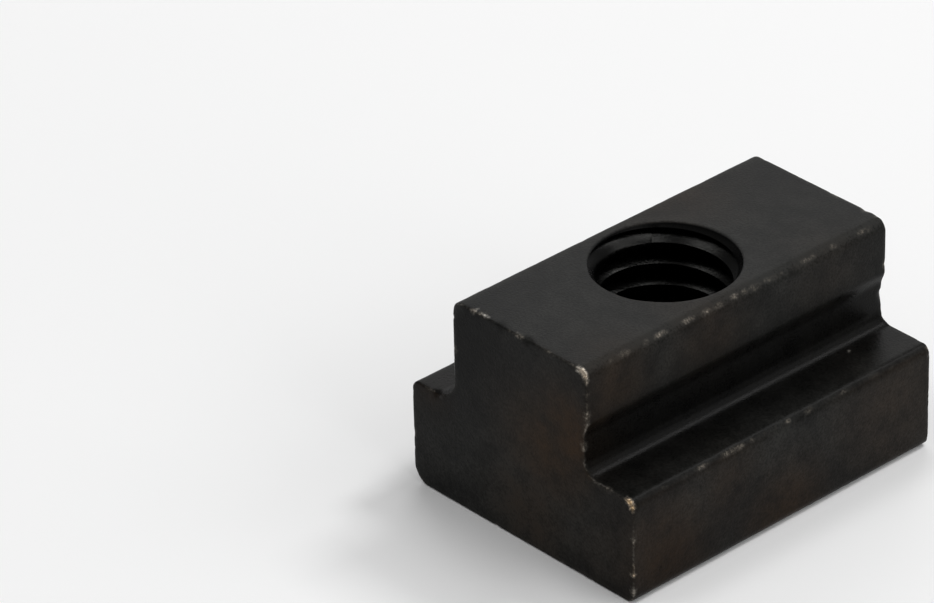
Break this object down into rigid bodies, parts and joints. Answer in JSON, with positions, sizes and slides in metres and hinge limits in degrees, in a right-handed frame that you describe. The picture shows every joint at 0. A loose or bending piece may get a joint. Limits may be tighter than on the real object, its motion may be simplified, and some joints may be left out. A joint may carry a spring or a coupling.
{
  "type": "t slot nut",
  "caption": "Block of steel tee bar with a tapped hole through its stem, slid into a machine table's tee slot to hold a clamping stud.",
  "frame": {"origin": "middle of the underside's outline; the tapped hole's axis is 0.6 mm nearer the -Y end", "axes": "+Z out of the top of the stem along the hole, +Y along the slot, +X across it"},
  "size_m": [0.0254, 0.033, 0.0191],
  "materials": {
    "black_oxide_steel": "black oxide, satin, a little worn to bare metal at the edges"
  },
  "bodies": {
    "root": {"tee_nut_body": "black_oxide_steel"}
  },
  "joints": []
}
